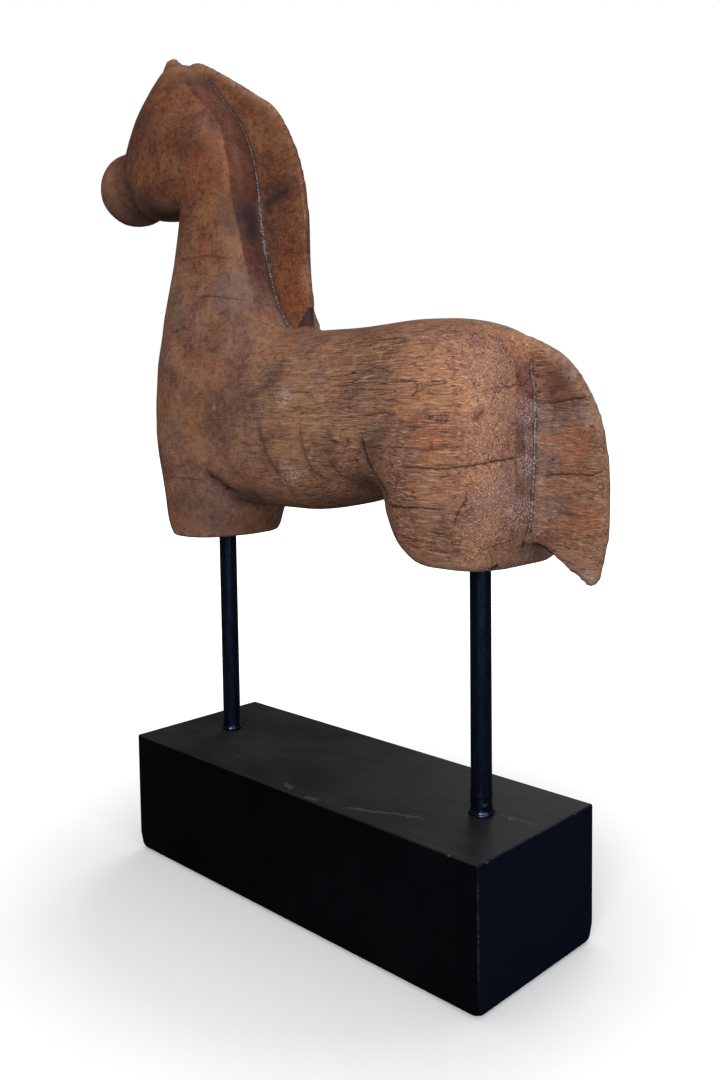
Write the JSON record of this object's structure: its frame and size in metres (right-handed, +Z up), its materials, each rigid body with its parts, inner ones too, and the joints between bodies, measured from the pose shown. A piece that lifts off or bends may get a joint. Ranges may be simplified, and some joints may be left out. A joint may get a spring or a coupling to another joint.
{
  "type": "horse figurine",
  "caption": "Carved wooden horse with a round muzzle, fin mane and fin tail, its leg stumps held on slim black rods over a black wooden block.",
  "frame": {"origin": "centre of the block's flat underside, where the figurine stands on a shelf or table", "axes": "+Z up; the block's long side and the horse run along X with the muzzle towards -X and the tail towards +X; the horse's left side faces -Y"},
  "size_m": [0.285, 0.072, 0.369],
  "materials": {
    "weathered_wood": "warm red-brown weathered hardwood, dull, with open pores, scratches and pale dust in the grooves",
    "black_painted_wood": "matte black paint over wood",
    "black_painted_steel": "satin black paint"
  },
  "bodies": {
    "root": {"horse": "weathered_wood", "block": "black_painted_wood", "front_rod": "black_painted_steel", "rear_rod": "black_painted_steel"}
  },
  "joints": []
}
